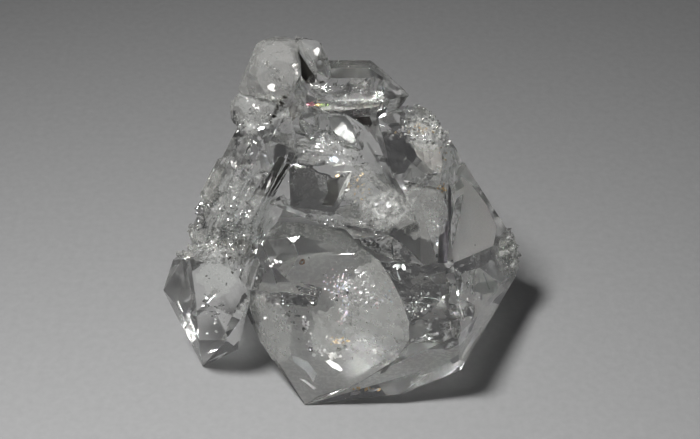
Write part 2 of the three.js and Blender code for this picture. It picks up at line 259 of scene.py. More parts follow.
ZONES = [
    Zone(mm(4.6, -15.0, 12.5), (7.2, 8.5, 10.0), 0.66, 0.08, 0.5, on_dome=True),  # right of the front dome
    Zone(mm(-1.5, -16, 10), (4.5, 5.0, 5.5), 0.5, 0.16, 1.2),  # its middle
    Zone(mm(-10.5, -13.5, 8), (3.6, 5.0, 5.5), 0.7, 0.14, 0.9),  # its lower left
    Zone(mm(-2.5, -8.3, 22.3), (9.5, 2.4, 2.2), 0.7, 0.22, 0.8, ALONG_X),  # ledge above the dome
    Zone(mm(5.2, -7.6, 25.4), (4.4, 3.2, 3.2), 0.91, 0.12, 0.6),  # foot of the central crystal
    Zone(mm(1.2, -5.6, 28.5), (3.4, 3.6, 4.2), 0.45, 0.1, 0.9),  # its right face
    Zone(mm(-3.4, -2.2, 31.2), (5.5, 3.6, 2.4), 0.6, 0.22, 0.9, ALONG_X),  # steps above the window face
    Zone(mm(-0.5, -1.5, 33.6), (2.4, 2.2, 2.0), 0.25, 0.0, 0.6),  # white face over them
    Zone(mm(1, 4.5, 36.5), (8.5, 4.5, 3.6), 0.35, 0.05, 0.9, ALONG_X),  # top crystal
    Zone(mm(-10.5, 4.5, 39.5), (8.0, 8.0, 7.5), 0.5, 0.1, 2.6),  # knob
    Zone(mm(-12.5, 2, 34.5), (5.0, 4.5, 3.5), 0.5, 0.16, 1.4),  # lump under it
    Zone(mm(-15.5, -4, 22), (5.5, 5.0, 9.0), 0.8, 0.14, 0.7, ALONG_FLANK),  # left flank
    Zone(mm(-19.5, -7, 18), (5.0, 4.0, 2.6), 0.85, 0.16, 0.5),  # top of the small left crystal
    Zone(mm(-18.0, -11.5, 16.5), (3.2, 3.5, 3.0), 0.55, 0.05, 0.6),  # its shoulder
    Zone(mm(10.3, 0, 32.6), (5.2, 4.0, 3.0), 0.95, 0.1, 0.35),  # crust of the upper right block
    Zone(mm(12.0, -2.5, 29), (4.0, 3.6, 3.4), 0.55, 0.06, 0.8),  # its front
    Zone(mm(9.4, -7.6, 25), (4.6, 4.2, 4.4), 0.8, 0.05, 0.9),  # under it
    Zone(mm(22.7, -2.0, 11.5), (3.0, 4.0, 3.4), 0.95, 0.2, 0.5),  # crust of the right corner
    Zone(mm(-13.4, -12.9, 11.6), (2.6, 3.0, 2.8), 0.8, 0.1, 0.5),  # joint of the small left crystal
    Zone(mm(0.5, 2.2, 35.2), (9.0, 1.6, 1.6), 0.86, 0.06, 0.5, ALONG_X),  # foot of the top crystal
    Zone(mm(-22.4, -12.4, 7.0), (2.4, 2.4, 4.4), 0.7, 0.0, 1.0),  # four edges that would shine too much
    Zone(mm(9.6, -19.4, 5.6), (6.5, 1.6, 4.2), 0.32, 0.0, 1.0),
    Zone(mm(18.2, -10.6, 12.0), (4.0, 4.0, 3.6), 0.3, 0.0, 1.0),
    Zone(mm(12.0, -17.2, 13.6), (2.6, 2.6, 4.2), 0.34, 0.0, 1.0),
    Zone(mm(-5, 9, 28), (6.0, 5.0, 5.0), 0.6, 0.2, 1.0),  # joint at the back
    Zone(mm(3, 13, 9), (9.0, 4.0, 4.0), 0.5, 0.2, 1.0),  # lower back
]
# how far a zone's border strays, in radii, and how finely
STRAYS = ((0.3, 450), (0.16, 1300))
SOFT_BORDER = 0.3
FARTHEST_REACH = 1.7
LEAST_PULL = 0.02
# relief: how far its cells are drawn out, their mean height, and the coarse and fine parts
DRAWN_OUT = 0.85
MEAN_CELL_HEIGHT = 0.4
COARSE_PART, FINE_PART = 1.1, 0.45
FINE_CELL = 0.45
# parts of an edge's length, the likeliest first
PLACES_ALONG_EDGE = (0.5, 0, 1, 0.25, 0.75)
LONGEST_EDGE = 0.62 * MM
SPLITTING_ROUNDS = 8
RESTING_FACE_LEVEL = 0.02 * MM
LOWEST_RELIEF = 0.03 * MM


def zone_pull(place, zone):
    """How much of a zone's frosting and relief a place has, 0 to 1."""
    away = place - zone.centre
    reach = 0.0
    for axis in range(3):
        step = away[axis] / zone.radii[axis]
        reach += step * step
        if reach > FARTHEST_REACH:
            return 0.0
    if zone.on_dome and (place - ON_FRONT_FACE).dot(FRONT_FACE) < LEAST_DOME_HEIGHT:
        return 0.0
    ragged = math.sqrt(reach)
    for stray, scale in STRAYS:
        ragged += stray * noise.noise(place * scale)
    return min(1.0, max(0.0, (1.0 - ragged) / SOFT_BORDER))


def frosting(place):
    return max(zone.frost * zone_pull(place, zone) for zone in ZONES)


def in_rough_zone(place):
    return any(zone_pull(place, zone) > LEAST_PULL for zone in ZONES)


def relief_at(place):
    height = 0.0
    for zone in ZONES:
        pull = zone_pull(place, zone)
        if pull > 0.0:
            drawn = (place - zone.way * place.dot(zone.way) * DRAWN_OUT) / zone.cell
            coarse = noise.voronoi(drawn)[0][0] - MEAN_CELL_HEIGHT
            fine = noise.noise(drawn / FINE_CELL)
            height += pull * zone.relief * (COARSE_PART * coarse + FINE_PART * fine)
    return height


def is_kept_flat(part):
    """True for an edge or a corner of a face that gets no relief."""
    return any(face.material_index in KEPT_FLAT for face in part.link_faces)


def refine(bm):
    """Splits the long edges of faces that lie in a rough zone."""
    for _ in range(SPLITTING_ROUNDS):
        edges = []
        for edge in bm.edges:
            if edge.calc_length() <= LONGEST_EDGE or is_kept_flat(edge):
                continue
            start, end = (vert.co for vert in edge.verts)
            if any(in_rough_zone(start.lerp(end, part)) for part in PLACES_ALONG_EDGE):
                edges.append(edge)
        if not edges:
            break
        bmesh.ops.subdivide_edges(bm, edges=edges, cuts=1)
        bmesh.ops.triangulate(bm, faces=[face for face in bm.faces if len(face.verts) > 3])


def roughen(bm):
    """Moves the corners of rough zones in or out, except on the resting face."""
    bm.normal_update()
    moves = []
    for vert in bm.verts:
        if vert.co.z < RESTING_FACE_LEVEL or is_kept_flat(vert):
            continue
        height = relief_at(vert.co)
        if height:
            moves.append((vert, vert.normal * height))
    for vert, move in moves:
        vert.co += move
        vert.co.z = max(vert.co.z, LOWEST_RELIEF)


# ---- small closed shapes, each made as its corners and its faces ----
SHINE_AIR = ((LAMP - AIM).normalized() + EYE).normalized()
# about one turn, in radians
TURN = 6.28
# a grain's point: its height and how far out its faces start, in widths of the grain
POINT_HEIGHT = 0.6
POINT_REACH = 0.433
SHORTEST_PRISM = 0.1
SHINE_SCATTER = 0.035
# a flake's corners, least and most, how narrow it is, and how uneven its corners are
FLAKE_CORNERS = (4, 7)
FLAKE_STRETCH = (0.45, 1.0)
FLAKE_STRAY = 0.25
# a crack's mesh, and how uneven its edge is
CRACK_RINGS = 9
CRACK_SIDES = 44
EDGE_STRAY = 0.07
EDGE_CELL = 0.7 * MM
BALL_RINGS = 5
BALL_SIDES = 10


def spread_out(rng, spread):
    """A random step, alike in every direction."""
    return Vector([rng.gauss(0, spread) for _ in range(3)])


def placed(centre, step, half):
    """The centre moved by the step, counted in half sizes (mm)."""
    return centre + Vector([step[axis] * half[axis] * MM for axis in range(3)])


def turned(direction, spin):
    """Axes of a shape whose own Z lies along the direction."""
    up = direction.normalized()
    side = up.orthogonal().normalized()
    other = up.cross(side)
    along = side * math.cos(spin) + other * math.sin(spin)
    return along, up.cross(along), up


def grain(place, direction, spin, width, length):
    """One small doubly pointed quartz crystal."""
    along, across, up = turned(direction, spin)
    radius = width / 2
    half = max(length / 2 - POINT_HEIGHT * width, SHORTEST_PRISM * width)
    verts = [place - up * length / 2, place + up * length / 2]
    for level in (-half, half):
        for side in range(6):
            angle = side * math.pi / 3
            ring = along * math.cos(angle) + across * math.sin(angle)
            verts.append(place + up * level + ring * radius)
    faces = []
    for side in range(6):
        after = (side + 1) % 6
        faces.append((0, 2 + after, 2 + side))
        faces.append((1, 8 + side, 8 + after))
        faces.append((2 + side, 2 + after, 8 + after, 8 + side))
    return verts, faces


def bright_grain(rng, place, width, length):
    """A grain turned so that one of its point's faces shines in the lamp."""
    shine = (SHINE_AIR + spread_out(rng, SHINE_SCATTER)).normalized()
    first = shine.orthogonal().normalized()
    part = math.cos(rng.uniform(0, TURN))
    other_part = math.sin(rng.uniform(0, TURN))
    side = (part * first + other_part * shine.cross(first)).normalized()
    slope = math.atan2(POINT_HEIGHT, POINT_REACH)
    along, across, up = turned(shine * math.cos(slope) + side * math.sin(slope), 0)
    azimuth = math.atan2(shine.dot(across), shine.dot(along))
    return grain(place, up, azimuth - math.pi / 6, width, length)


def flake(rng, place, direction, radius, thickness):
    """A thin flat chip with an uneven outline."""
    along, across, up = turned(direction, rng.uniform(0, TURN))
    corners = rng.randint(*FLAKE_CORNERS)
    stretch = rng.uniform(*FLAKE_STRETCH)
    outline = []
    for corner in range(corners):
        angle = (corner + rng.uniform(-FLAKE_STRAY, FLAKE_STRAY)) * 2 * math.pi / corners
        outline.append(along * radius * math.cos(angle) + across * radius * stretch * math.sin(angle))
    verts = [place + point - up * thickness / 2 for point in outline]
    verts += [place + point + up * thickness / 2 for point in outline]
    faces = [tuple(reversed(range(corners))), tuple(range(corners, 2 * corners))]
    for corner in range(corners):
        after = (corner + 1) % corners
        faces.append((corner, after, corners + after, corners + corner))
    return verts, faces


def slab(front, back_step):
    """A thin film: its front corners, and the same ones moved back."""
    count = len(front)
    verts = front + [corner + back_step for corner in front]
    faces = [tuple(range(count)), tuple(reversed(range(count, 2 * count)))]
    for corner in range(count):
        after = (corner + 1) % count
        faces.append((after, corner, count + corner, count + after))
    return verts, faces


def crack(outline, thickness, wave, cell):
    """A thin wavy gap with the given outline, uneven along its edge and closed there."""
    middle = sum(outline, Vector()) / len(outline)
    normal = Vector()
    for first, second in zip(outline, outline[1:] + outline[:1]):
        normal += (first - middle).cross(second - middle)
    normal.normalize()
    edge = []
    for side in range(CRACK_SIDES):
        along = side / CRACK_SIDES * len(outline)
        corner = int(along)
        place = outline[corner].lerp(outline[(corner + 1) % len(outline)], along - corner)
        edge.append(place + (place - middle) * EDGE_STRAY * noise.noise(place / EDGE_CELL))
    verts = [middle + normal * thickness / 2, middle - normal * thickness / 2]
    rows = []
    for ring in range(1, CRACK_RINGS + 1):
        upper, lower = [], []
        for side in range(CRACK_SIDES):
            place = middle.lerp(edge[side], ring / CRACK_RINGS)
            place = place + normal * wave * noise.noise(place / cell)
            upper.append(len(verts))
            if ring == CRACK_RINGS:
                lower.append(len(verts))
                verts.append(place)
            else:
                lower.append(len(verts) + 1)
                verts.append(place + normal * thickness / 2)
                verts.append(place - normal * thickness / 2)
        rows.append((upper, lower))
    faces = []
    for side in range(CRACK_SIDES):
        after = (side + 1) % CRACK_SIDES
        upper, lower = rows[0]
        faces += [(0, upper[side], upper[after]), (1, lower[after], lower[side])]
        for (upper, lower), (upper_out, lower_out) in zip(rows, rows[1:]):
            faces.append((upper[side], upper_out[side], upper_out[after]))
            faces.append((upper[side], upper_out[after], upper[after]))
            faces.append((lower_out[after], lower_out[side], lower[side]))
            faces.append((lower[after], lower_out[after], lower[side]))
    return verts, faces


def ball(place, radius):
    verts = [place + Vector((0, 0, -radius)), place + Vector((0, 0, radius))]
    for ring in range(1, BALL_RINGS + 1):
        tilt = math.pi * ring / (BALL_RINGS + 1)
        flat = radius * math.sin(tilt)
        for side in range(BALL_SIDES):
            angle = 2 * math.pi * side / BALL_SIDES
            step = Vector((flat * math.cos(angle), flat * math.sin(angle), -radius * math.cos(tilt)))
            verts.append(place + step)
    faces = []
    for side in range(BALL_SIDES):
        after = (side + 1) % BALL_SIDES
        faces.append((0, 2 + after, 2 + side))
        last = 2 + (BALL_RINGS - 1) * BALL_SIDES
        faces.append((1, last + side, last + after))
        for ring in range(BALL_RINGS - 1):
            low = 2 + ring * BALL_SIDES
            high = low + BALL_SIDES
            faces.append((low + side, low + after, high + after, high + side))
    return verts, faces


def combine(body, operation, name, shapes, material):
    """Joins the closed shapes to the body's mesh, or cuts them out."""
    group = bpy.data.collections.new(name)
    SCENE.collection.children.link(group)
    for verts, faces in shapes:
        mesh = bpy.data.meshes.new(name)
        mesh.from_pydata(verts, [], faces)
        for polygon in mesh.polygons:
            polygon.material_index = material
        group.objects.link(bpy.data.objects.new(name, mesh))
    modifier = body.modifiers.new("combine", "BOOLEAN")
    modifier.operation = operation
    modifier.solver = "MANIFOLD"
    modifier.operand_type = "COLLECTION"
    modifier.collection = group
    shape = body.evaluated_get(bpy.context.evaluated_depsgraph_get())
    mesh = bpy.data.meshes.new_from_object(shape)
    body.modifiers.clear()
    body.data = mesh
    for tool in list(group.objects):
        used = tool.data
        bpy.data.objects.remove(tool, do_unlink=True)
        bpy.data.meshes.remove(used)
    bpy.data.collections.remove(group)


def make_piece(name, shapes, materials, numbers):
    """One piece of the closed shapes, each with the material that its number names."""
    verts, faces, face_numbers = [], [], []
    for (corners, sides), number in zip(shapes, numbers):
        start = len(verts)
        verts += corners
        faces += [tuple(corner + start for corner in side) for side in sides]
        face_numbers += [number] * len(sides)
    mesh = bpy.data.meshes.new(name)
    mesh.from_pydata(verts, [], faces)
    for material in materials:
        mesh.materials.append(material)
    for polygon, number in zip(mesh.polygons, face_numbers):
        polygon.material_index = number
    body = bpy.data.objects.new(name, mesh)
    SCENE.collection.objects.link(body)
    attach(body, "root")
    return body


# ---- druse grains grown on the rough zones ----
# centre, radii (mm), how many, least and greatest length (mm)
DRUSE = [
    (mm(-16.5, -5, 20), (4.5, 4.5, 6.0), 260, 0.35, 1.1),
    (mm(-19.5, -7, 18), (4.5, 3.5, 2.2), 120, 0.3, 0.8),
    (mm(10.3, 0.5, 33.3), (4.4, 3.6, 2.0), 240, 0.25, 0.7),
    (mm(22.7, -2.0, 11.5), (2.6, 3.4, 3.0), 110, 0.25, 0.8),
    (mm(-2.5, -8.3, 22.3), (9.0, 2.0, 1.6), 70, 0.25, 0.7),
    (mm(-3.4, -2.4, 31.2), (5.0, 3.2, 2.0), 60, 0.25, 0.7),
    (mm(-12.5, 0, 33.2), (4.0, 3.0, 2.6), 60, 0.3, 0.9),
    (mm(-5, 9, 28), (5.0, 4.0, 4.0), 90, 0.4, 1.0),
    (mm(3, 13, 9), (8.0, 3.0, 3.0), 90, 0.4, 1.0),
]
# squared distance, in radii, within which a face can bear grains
FACE_REACH = 6
LEAST_FACE_AREA = 1e-9
TRIES_PER_GRAIN = 12
GRAIN_LEAN = 0.9
# least and greatest width of a grain, in its lengths
DRUSE_WIDTHS = (0.45, 0.8)
ROOT_DEPTH = 0.12
BRIGHT_PART = 0.4


def reach_squared(place, centre, radii):
    """Squared distance from the centre, counted in the radii (mm)."""
    away = place - centre
    return sum((away[axis] / (radii[axis] * MM)) ** 2 for axis in range(3))


def grow_druse(body):
    rng = random.Random(11)
    grains = []
    mesh = body.data
    for centre, radii, count, least, most in DRUSE:
        faces, areas = [], []
        for polygon in mesh.polygons:
            near = reach_squared(polygon.center, centre, radii) < FACE_REACH
            if near and polygon.area > LEAST_FACE_AREA:
                faces.append(polygon)
                areas.append(polygon.area)
        grown = 0
        for _ in range(count * TRIES_PER_GRAIN):
            if grown == count:
                break
            polygon = rng.choices(faces, areas)[0]
            points = [mesh.vertices[index].co for index in polygon.vertices[:3]]
            s, t = rng.random(), rng.random()
            if s + t > 1:
                s, t = 1 - s, 1 - t
            place = points[0] + (points[1] - points[0]) * s + (points[2] - points[0]) * t
            if reach_squared(place, centre, radii) > 1:
                continue
            grown += 1
            length = rng.uniform(least, most) * MM
            lean = Vector([rng.uniform(-GRAIN_LEAN, GRAIN_LEAN) for _ in range(3)])
            width = length * rng.uniform(*DRUSE_WIDTHS)
            place = place - polygon.normal * ROOT_DEPTH * length
            if rng.random() < BRIGHT_PART:
                grains.append(bright_grain(rng, place, width, length))
            else:
                grains.append(grain(place, polygon.normal + lean, rng.uniform(0, 1), width, length))
    combine(body, "UNION", "druse", grains, GRAIN)


# ---- cracks, veils and bubbles inside ----
GAP_THICKNESS = 0.05 * MM
VEIL_THICKNESS = 0.03 * MM
VEIL_SCATTER = 0.45
VEIL_FLATNESS = 0.75
VEIL_LEAN = 0.5
RIMMED_BUBBLE = mm(-6.5, -9.9, 17.7)


def level(height, places):
    """Places (mm) that lie at one height (mm)."""
    return [mm(x, y, height) for x, y in places]


# outline (mm), wave (mm), width of the waves (mm): gaps that mirror the dark room
GAPS = [
    ([mm(-7.2, 4.9, 22.9), mm(-4.8, 5.2, 22.9), mm(-3.3, 3.0, 23.1), mm(-1.1, 1.8, 23.1),
      mm(1.2, 3.2, 23.0), mm(-0.1, -1.1, 23.3), mm(-2.1, -6.7, 23.6), mm(-4.5, -6.7, 23.6),
      mm(-7.0, -6.1, 23.6), mm(-8.1, -4.7, 23.5)], 0.05, 1.2),
    (level(18.5, [(0.9, -4.2), (5.8, -4.7), (7.6, -6.8), (8.9, -9.0), (10.6, -11.6), (8.0, -11.2),
      (4.2, -9.2), (1.8, -7.4)]), 0.05, 1.4),
    (level(13.0, [(4.4, -4.6), (8.0, -4.4), (11.6, -6.6), (13.3, -10.0), (12.8, -12.7), (10.2, -13.6),
      (7.6, -13.1), (6.0, -11.1)]), 0.08, 1.2),
    (level(9.0, [(8.5, -9.4), (11.4, -8.6), (14.8, -9.4), (15.2, -13.4), (13.4, -16.4), (8.1, -16.6),
      (7.8, -12.8)]), 0.05, 1.4),
    (level(20.0, [(11.4, 2.8), (13.0, 2.4), (13.2, -2.9), (12.9, -11.6), (11.6, -11.6),
      (11.2, -5.6)]), 0.04, 2.0),
    (level(12.0, [(7.0, -6.1), (10.0, -3.9), (13.7, -1.9), (17.7, -0.6), (19.1, -2.7), (17.1, -4.5),
      (12.6, -6.1), (9.0, -7.8)]), 0.1, 2.0),
    (level(9.0, [(-13.4, -4.8), (-10.8, -5.2), (-6.6, -4.9), (-3.4, -6.4), (-3.8, -8.2), (-7.8, -8.3),
      (-12.2, -7.3)]), 0.2, 2.0),
    (level(24.0, [(-9.1, 7.0), (-8.6, 6.6), (-11.3, -2.8), (-12.0, -1.8)]), 0.02, 2.0),
    (level(24.0, [(-8.4, 6.0), (-8.0, 5.4), (-10.3, -3.1), (-10.9, -2.8)]), 0.02, 2.0),
    (level(28.0, [(6.1, 8.6), (7.3, 8.6), (9.5, 7.4), (9.9, 2.3), (7.6, -2.9), (6.1, -3.4),
      (5.7, 0.9)]), 0.06, 1.6),
    (level(10.0, [(-19.3, -6.9), (-18.4, -7.0), (-20.9, -11.4), (-21.6, -11.0)]), 0.02, 2.0),
]
# centre, half size (mm), how many, least and greatest size (mm): healed cracks
VEILS = [
    (mm(0.5, -12.8, 13.5), (4.0, 2.6, 4.0), 120, 0.12, 0.4),
    (mm(-8.5, -12.5, 10.5), (2.6, 2.2, 3.0), 60, 0.15, 0.6),
    (mm(9.5, -13.6, 12.6), (2.2, 1.6, 1.8), 60, 0.15, 0.8),
    (mm(15.5, -8.5, 14.0), (2.6, 2.6, 4.0), 50, 0.15, 0.6),
    (mm(1.6, -4.4, 27.4), (2.4, 1.8, 2.6), 50, 0.15, 0.5),
    (mm(-3.0, 0.6, 31.2), (3.6, 1.6, 1.6), 50, 0.2, 0.6),
    (mm(-18.2, -10.4, 10.0), (2.0, 2.0, 3.0), 12, 0.1, 0.28),
    (mm(9.5, -4.0, 27.5), (3.0, 2.0, 2.4), 50, 0.15, 0.6),
    (mm(-10.0, 4.6, 38.6), (2.6, 2.4, 3.0), 40, 0.15, 0.6),
    (mm(1.0, 5.6, 36.2), (5.5, 1.6, 1.8), 30, 0.15, 0.6),
]
# place and radius (mm): bubbles
BUBBLES = [
    (RIMMED_BUBBLE, 0.22), (mm(-5.6, -9.6, 18.2), 0.14), (mm(-7.6, -9.9, 17.0), 0.12),
    (mm(-8.2, -12.4, 12.2), 0.3), (mm(6.9, -10.9, 17.7), 0.26), (mm(-11.4, -9.7, 15.8), 0.12),
    (mm(-20.0, -11.6, 13.2), 0.16), (mm(17.0, -6.0, 17.4), 0.15), (mm(12.0, -14.0, 12.0), 0.18),
]


def cut_inside(body):
    rng = random.Random(5)
    hollows = []
    for outline, wave, cell in GAPS:
        hollows.append(crack(outline, GAP_THICKNESS, wave * MM, cell * MM))
    for centre, half, count, least, most in VEILS:
        lie = spread_out(rng, 1).normalized()
        for _ in range(count):
            step = spread_out(rng, VEIL_SCATTER)
            step -= lie * step.dot(lie) * VEIL_FLATNESS
            place = placed(centre, step, half)
            lean = spread_out(rng, VEIL_LEAN)
            hollows.append(flake(rng, place, lie + lean, rng.uniform(least, most) * MM, VEIL_THICKNESS))
    for place, radius in BUBBLES:
        hollows.append(ball(place, radius * MM))
    combine(body, "DIFFERENCE", "cracks", hollows, INNER)


# ---- the cluster itself ----
MERGE_DISTANCE = 0.001 * MM
# dullness, 0 to 1
INNER_DULL = 0.1
GRAIN_DULL = 0.22
BASE_DULL = 0.6
BACK_DULL = 0.25
FAR_SIDE_DULL = 0.15
LEAST_DULL = 0.02
# how uneven it is: the mean, and the height and width of each size of patch
MEAN_PATCH = 0.75
PATCHES = ((0.6, 0.8 * MM), (0.4, 0.3 * MM))
# how far a face's normal leans back, up or down when it counts as facing that way
FACES_BACK = 0.35
FACES_UP = 0.1
FACES_DOWN = -0.25
RESTS_FLAT = -0.95
BASE_LEVEL = 0.1 * MM
# frosting, from which a face is frosted or milky
FROSTED_FROM = 0.35
MILKY_FROM = 0.9
MILKY_STRAY = 0.14
MILKY_CELL = 0.6 * MM


def hidden_dullness(normal, is_base):
    """How dull a face is at least, where the photograph doesn't show it."""
    if is_base:
        return BASE_DULL
    if normal.y > FACES_BACK:
        return BACK_DULL if normal.z > FACES_UP else FAR_SIDE_DULL
    return FAR_SIDE_DULL if normal.z < FACES_DOWN else 0.0


def patchiness(place):
    patch = MEAN_PATCH
    for height, cell in PATCHES:
        patch += height * noise.noise(place / cell)
    return patch


def finish_faces(bm):
    """Stores how dull every face is, and gives the frosted ones their material."""
    dull = bm.faces.layers.float.new("dull")
    for face in bm.faces:
        face.smooth = False
        if face.material_index in KEPT_FLAT:
            face[dull] = INNER_DULL if face.material_index == INNER else GRAIN_DULL
            continue
        place = face.calc_center_median()
        frost = frosting(place)
        is_base = face.normal.z < RESTS_FLAT and place.z < BASE_LEVEL
        frosted = min(1.0, frost * patchiness(place))
        face[dull] = max(hidden_dullness(face.normal, is_base), frosted, LEAST_DULL)
        if is_base:
            face.material_index = BASE
        elif frost + MILKY_STRAY * noise.noise(place / MILKY_CELL) > MILKY_FROM:
            face.material_index = MILKY
        elif frost > FROSTED_FROM:
            face.material_index = FROSTED


def make_cluster():
    mesh = frame["nodes"]["quartz_cluster"].data.copy()
    mesh.materials.clear()
    for kind in QUARTZ_KINDS:
        mesh.materials.append(quartz_material(*kind))
    body = bpy.data.objects.new("crystals", mesh)
    SCENE.collection.objects.link(body)
    bm = bmesh.new()
    bm.from_mesh(mesh)
    bmesh.ops.remove_doubles(bm, verts=bm.verts, dist=MERGE_DISTANCE)
    for face in bm.faces:
        face.material_index = CLEAR
    bm.to_mesh(mesh)
    bm.free()

    grow_druse(body)
    cut_inside(body)
    mesh = body.data
    mesh.name = "crystals"
    bm = bmesh.new()
    bm.from_mesh(mesh)
    bmesh.ops.triangulate(bm, faces=[face for face in bm.faces if len(face.verts) > 4])
    refine(bm)
    roughen(bm)
    bm.normal_update()
    finish_faces(bm)
    bm.to_mesh(mesh)
    bm.free()
    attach(body, "root")
    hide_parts("quartz_cluster")


# ---- chips and films that catch the lamp, and near-black films that are painted shade ----
# a face turned less than this towards the lamp is lit through the top instead
LEAST_LIT = 0.15


def bent(ray, normal):
    """The ray's direction inside the quartz after it enters a face."""
    ratio = 1 / QUARTZ_IOR
    fall = -ray.dot(normal)
    return ratio * ray + (ratio * fall - math.sqrt(1 - ratio * ratio * (1 - fall * fall))) * normal


def shine_through(normal):
    """The way a chip under a face with this normal must face to send the lamp to the eye."""
    normal = Vector(normal).normalized()
    inward = bent(-EYE, normal)
    lamp = (LAMP - AIM).normalized()
    lit = bent(-lamp, normal if lamp.dot(normal) > LEAST_LIT else Vector((0, 0, 1)))
    return -(inward + lit).normalized()


# normals of faces that chips and films are seen through
OVER_FRONT = (-0.37, -0.72, 0.59)
OVER_RIGHT = (0.85, -0.32, 0.41)
OVER_EDGE = (0, -1, 0.02)
OVER_CENTRAL = (-0.1, -0.85, 0.51)
OVER_WINDOW = (-0.35, -0.74, 0.57)
OVER_STEPS = (-0.37, -0.69, 0.62)
OVER_FOOT = (0, -0.99, -0.15)
OVER_BLOCK = (0.32, -0.68, 0.66)
OVER_BLOCK_TOP = (0.43, -0.09, 0.9)
OVER_FLANK = (-0.17, -0.92, 0.36)
OVER_FLANK_LEFT = (-0.58, -0.65, 0.49)
OVER_DOME_TOP = (-0.12, -0.63, 0.77)
OVER_DOME_LEFT = (-0.33, -0.9, 0.3)
OVER_DOME_LOW = (-0.21, -0.94, 0.26)
OVER_SLOPE = (0, -0.8, 0.6)
